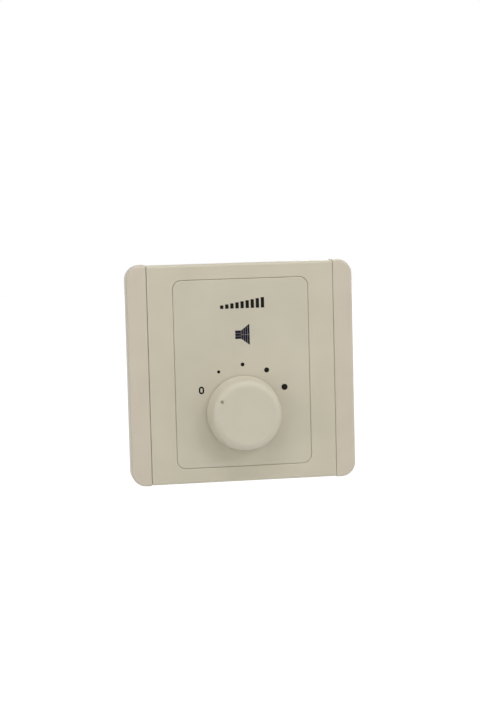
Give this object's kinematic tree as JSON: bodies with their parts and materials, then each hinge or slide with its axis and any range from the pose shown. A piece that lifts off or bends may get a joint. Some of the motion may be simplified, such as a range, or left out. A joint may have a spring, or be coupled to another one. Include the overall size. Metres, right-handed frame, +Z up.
{
  "type": "speaker volume control",
  "caption": "Square wall plate with a round turn knob that steps the level of a loudspeaker line, with its switch, transformer and terminals behind.",
  "frame": {"origin": "centre of the plate on the wall plane, midway between the two wall-box screws", "axes": "+Y goes into the wall, the knob points to -Y, +X is right seen from the front, +Z is up"},
  "size_m": [0.09, 0.0592, 0.087],
  "materials": {
    "cream_cover": "satin moulded",
    "cream_strip": "satin moulded",
    "ivory_frame": "satin moulded",
    "zinc_casting": "die-cast",
    "plated_steel": "zinc plated",
    "spring_steel": "bright",
    "shaft_aluminium": "turned",
    "brass": "bright",
    "contact_metal": "silver plated",
    "black_nylon": "moulded",
    "white_acetal": "moulded",
    "brown_laminate": "laminate",
    "green_board": "solder mask",
    "core_steel": "varnished laminations",
    "yellow_tape": "polyester tape",
    "green_terminal": "moulded",
    "nickel_brass": "nickel plated"
  },
  "bodies": {
    "plate": {"mounting_frame": "ivory_frame", "front_cover": "cream_cover", "left_trim_strip": "cream_strip", "right_trim_strip": "cream_strip", "insert_panel": "cream_cover", "switch_bushing": "zinc_casting", "switch_nut": "plated_steel", "switch_washer": "plated_steel", "switch_housing": "black_nylon", "detent_spring": "spring_steel", "switch_stator": "brown_laminate", "switch_contacts": "contact_metal", "switch_rivets": "brass", "circuit_board": "green_board", "board_screws": "plated_steel", "transformer_core": "core_steel", "transformer_bobbin": "black_nylon", "transformer_winding": "yellow_tape", "transformer_pins": "contact_metal", "transformer_clamp": "plated_steel", "clamp_screws": "plated_steel", "clamp_nuts": "plated_steel", "terminal_block": "green_terminal", "terminal_contacts": "brass"},
    "knob": {"knob": "cream_cover", "knob_clip": "spring_steel", "switch_shaft": "shaft_aluminium", "retaining_ring": "spring_steel", "detent_wheel": "white_acetal", "switch_rotor": "black_nylon", "wiper_contact": "contact_metal"},
    "terminal_screw_1": {"terminal_screw_1": "plated_steel"},
    "terminal_cage_1": {"terminal_cage_1": "nickel_brass"},
    "terminal_screw_2": {"terminal_screw_2": "plated_steel"},
    "terminal_cage_2": {"terminal_cage_2": "nickel_brass"},
    "terminal_screw_3": {"terminal_screw_3": "plated_steel"},
    "terminal_cage_3": {"terminal_cage_3": "nickel_brass"},
    "terminal_screw_4": {"terminal_screw_4": "plated_steel"},
    "terminal_cage_4": {"terminal_cage_4": "nickel_brass"}
  },
  "joints": [
    {"name": "knob_turn", "type": "hinge", "parent": "plate", "child": "knob", "pos_m": [0, 0, -0.0159], "axis": [0, 1, 0], "range_deg": [0, 120], "deforming": ["detent_spring"]},
    {"name": "terminal_screw_1_turn", "type": "hinge", "parent": "plate", "child": "terminal_screw_1", "pos_m": [-0.00762, 0.015, 0.0256], "axis": [0, -1, 0], "range_deg": [0, 1760]},
    {"name": "terminal_cage_1_rise", "type": "slide", "parent": "plate", "child": "terminal_cage_1", "axis": [0, 1, 0], "range_m": [0, 0.0022]},
    {"name": "terminal_screw_2_turn", "type": "hinge", "parent": "plate", "child": "terminal_screw_2", "pos_m": [-0.00254, 0.015, 0.0256], "axis": [0, -1, 0], "range_deg": [0, 1760]},
    {"name": "terminal_cage_2_rise", "type": "slide", "parent": "plate", "child": "terminal_cage_2", "axis": [0, 1, 0], "range_m": [0, 0.0022]},
    {"name": "terminal_screw_3_turn", "type": "hinge", "parent": "plate", "child": "terminal_screw_3", "pos_m": [0.00254, 0.015, 0.0256], "axis": [0, -1, 0], "range_deg": [0, 1760]},
    {"name": "terminal_cage_3_rise", "type": "slide", "parent": "plate", "child": "terminal_cage_3", "axis": [0, 1, 0], "range_m": [0, 0.0022]},
    {"name": "terminal_screw_4_turn", "type": "hinge", "parent": "plate", "child": "terminal_screw_4", "pos_m": [0.00762, 0.015, 0.0256], "axis": [0, -1, 0], "range_deg": [0, 1760]},
    {"name": "terminal_cage_4_rise", "type": "slide", "parent": "plate", "child": "terminal_cage_4", "axis": [0, 1, 0], "range_m": [0, 0.0022]}
  ],
  "couplings": [
    {"joint": "terminal_screw_1_turn", "follows": "terminal_cage_1_rise", "rad_per_m": 13963},
    {"joint": "terminal_screw_2_turn", "follows": "terminal_cage_2_rise", "rad_per_m": 13963},
    {"joint": "terminal_screw_3_turn", "follows": "terminal_cage_3_rise", "rad_per_m": 13963},
    {"joint": "terminal_screw_4_turn", "follows": "terminal_cage_4_rise", "rad_per_m": 13963}
  ]
}
